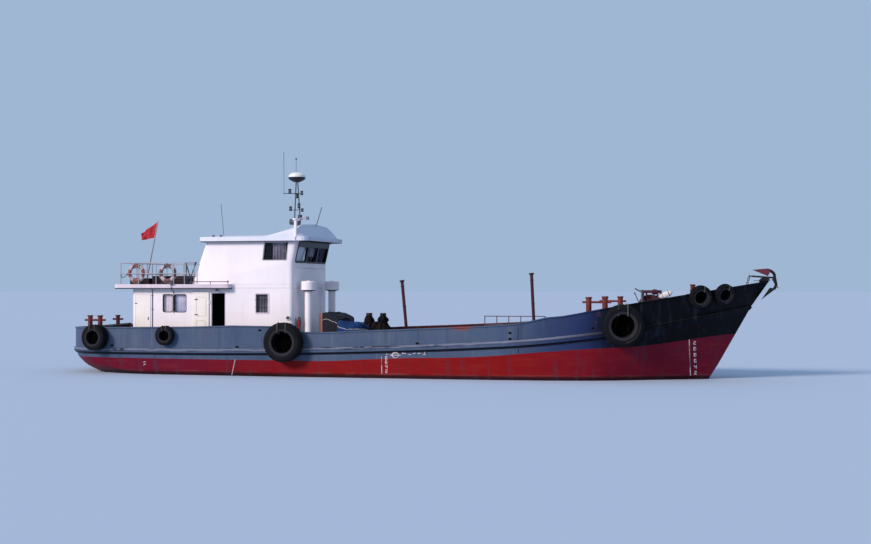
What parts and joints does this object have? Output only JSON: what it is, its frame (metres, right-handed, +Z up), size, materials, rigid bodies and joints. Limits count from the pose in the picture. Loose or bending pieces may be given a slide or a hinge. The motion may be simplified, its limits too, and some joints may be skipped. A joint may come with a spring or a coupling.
{
  "type": "waste oil collection boat",
  "caption": "Small steel harbour boat that collects waste oil, with a low cargo trunk amidships, a two-storey house aft, a mast, and tyre fenders along its bulwarks",
  "frame": {"origin": "on the centreline at the waterline, halfway along the hull", "axes": "+X toward the bow, +Y to port, +Z up"},
  "size_m": [25.9027, 6.2806, 9.3601],
  "materials": {
    "hull_paint": "red antifouling under slate grey topsides, weathered",
    "topside_paint": "slate grey gloss outside, dark red inside, rusty",
    "house_paint": "white gloss with rust streaks",
    "door_paint": "cream satin",
    "glass": "clear",
    "deck_paint": "dark red matt, worn",
    "mooring_paint": "dark red, worn and rusty",
    "dark_steel": "dark grey satin",
    "rail_paint": "grey satin",
    "radome_shell": "white",
    "tarpaulin_dark": "dark coated cloth",
    "tarpaulin_blue": "blue coated cloth",
    "flag_cloth": "red cloth",
    "buoy": "orange with pale bands",
    "tyre": "worn black rubber",
    "bronze": "dull bronze"
  },
  "bodies": {
    "boat": {"hull": "hull_paint", "bulwark_starboard": "topside_paint", "bulwark_port": "topside_paint", "deckhouse_side_starboard": "house_paint", "deckhouse_side_port": "house_paint", "deckhouse_front_wall": "house_paint", "deckhouse_aft_wall": "house_paint", "wheelhouse_side_starboard": "house_paint", "wheelhouse_side_port": "house_paint", "wheelhouse_front_wall": "house_paint", "wheelhouse_aft_wall": "house_paint", "platform_deck": "house_paint", "wheelhouse_roof": "house_paint", "vent_starboard": "house_paint", "vent_port": "house_paint", "wheelhouse_glass_front": "glass", "wheelhouse_glass_starboard": "glass", "wheelhouse_glass_port": "glass", "deckhouse_glass_starboard": "glass", "deckhouse_glass_port": "glass", "forward_glass_starboard": "glass", "forward_glass_port": "glass", "cargo_trunk": "deck_paint", "stern_bitts_starboard": "mooring_paint", "stern_bitts_port": "mooring_paint", "centre_bitt": "mooring_paint", "fore_bitts_starboard": "mooring_paint", "fore_bitts_port": "mooring_paint", "bow_bitt": "mooring_paint", "anchor": "mooring_paint", "tank_vent_line": "mooring_paint", "flagstaff": "mooring_paint", "stem_head": "dark_steel", "windlass_frame": "dark_steel", "cargo_pump": "dark_steel", "mast": "dark_steel", "helm_console": "dark_steel", "platform_rail": "rail_paint", "radome": "radome_shell", "tarpaulin_dark": "tarpaulin_dark", "tarpaulin_blue": "tarpaulin_blue", "flag": "flag_cloth", "lifebuoy_1": "buoy", "lifebuoy_2": "buoy", "tyre_quarter_starboard": "tyre", "tyre_quarter_port": "tyre", "tyre_aft_starboard": "tyre", "tyre_waist_starboard": "tyre", "tyre_waist_port": "tyre", "tyre_shoulder_starboard": "tyre", "tyre_shoulder_port": "tyre", "tyre_bow_starboard": "tyre", "tyre_stem_starboard": "tyre"},
    "door_port_body": {"door_port": "door_paint"},
    "door_starboard_body": {"door_starboard": "door_paint"},
    "hatch_lid_1_body": {"hatch_lid_1": "deck_paint"},
    "hatch_lid_2_body": {"hatch_lid_2": "deck_paint"},
    "propeller_body": {"propeller": "bronze"},
    "rudder_body": {"rudder": "hull_paint"},
    "windlass_drum_body": {"windlass_drum": "mooring_paint"}
  },
  "joints": [
    {"name": "door_starboard_hinge", "type": "hinge", "parent": "boat", "child": "door_starboard_body", "pos_m": [-6.61, -1.876, 2], "axis": [0, 0, 1], "range_deg": [0, 180]},
    {"name": "door_port_hinge", "type": "hinge", "parent": "boat", "child": "door_port_body", "pos_m": [-6.61, 1.876, 2], "axis": [0, 0, 1], "range_deg": [0, 180]},
    {"name": "hatch_lid_1_hinge", "type": "hinge", "parent": "boat", "child": "hatch_lid_1_body", "pos_m": [0.96, -0.5, 1.6003], "axis": [0, -1, 0], "range_deg": [0, 110]},
    {"name": "hatch_lid_2_hinge", "type": "hinge", "parent": "boat", "child": "hatch_lid_2_body", "pos_m": [2.46, -0.5, 1.6003], "axis": [0, -1, 0], "range_deg": [0, 110]},
    {"name": "rudder_turn", "type": "hinge", "parent": "boat", "child": "rudder_body", "pos_m": [-12, 0, 0], "axis": [0, 0, 1], "range_deg": [-35, 35]},
    {"name": "propeller_spin", "type": "hinge", "parent": "boat", "child": "propeller_body", "pos_m": [-11.25, 0, -0.68], "axis": [1, 0, 0], "continuous": true},
    {"name": "windlass_spin", "type": "hinge", "parent": "boat", "child": "windlass_drum_body", "pos_m": [9.05, 0, 2.52], "axis": [0, 1, 0], "continuous": true}
  ]
}
